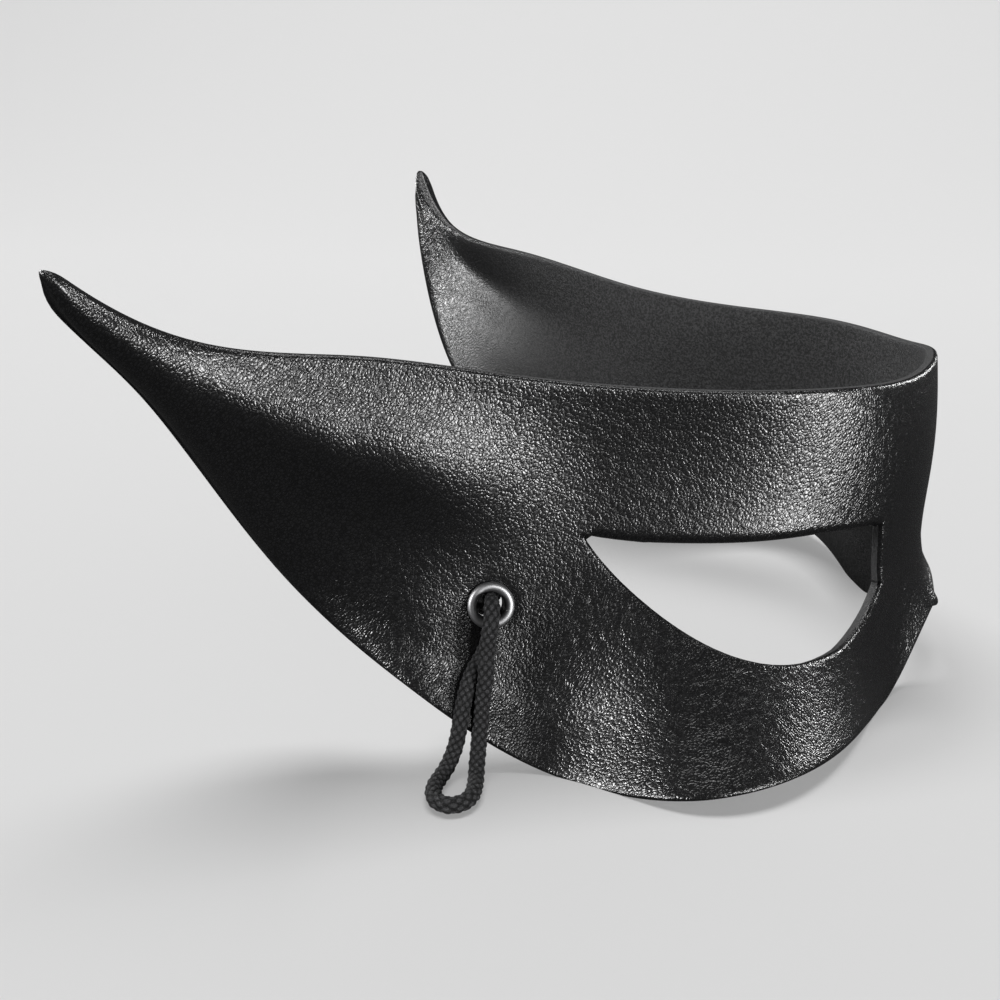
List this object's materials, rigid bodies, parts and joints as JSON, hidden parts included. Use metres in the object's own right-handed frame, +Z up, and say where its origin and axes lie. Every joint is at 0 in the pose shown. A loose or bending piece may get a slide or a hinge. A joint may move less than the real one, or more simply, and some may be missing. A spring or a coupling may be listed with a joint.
{
  "type": "leather elf mask",
  "caption": "Black leather half mask with pointed ears swept up at the temples, open eye holes, metal eyelets and braided cord loops at the cheeks.",
  "frame": {"origin": "on the ground under the middle of the mask's bounding box, without the cords", "axes": "+X out of the nose, +Y to the wearer's left, +Z up as the mask is worn; it rests on its lower edges at z = 0"},
  "size_m": [0.1854, 0.2558, 0.1186],
  "materials": {
    "black_leather": "pebbled grain, semi-gloss outside, matt inside, grey cut edges",
    "dark_steel": "dark, lightly brushed",
    "charcoal_braid": "matt braided cord"
  },
  "bodies": {
    "root": {"leather_shell": "black_leather", "right_eyelet": "dark_steel", "right_cord": "charcoal_braid", "right_cord_knot": "charcoal_braid", "left_eyelet": "dark_steel", "left_cord": "charcoal_braid", "left_cord_knot": "charcoal_braid"}
  },
  "joints": []
}
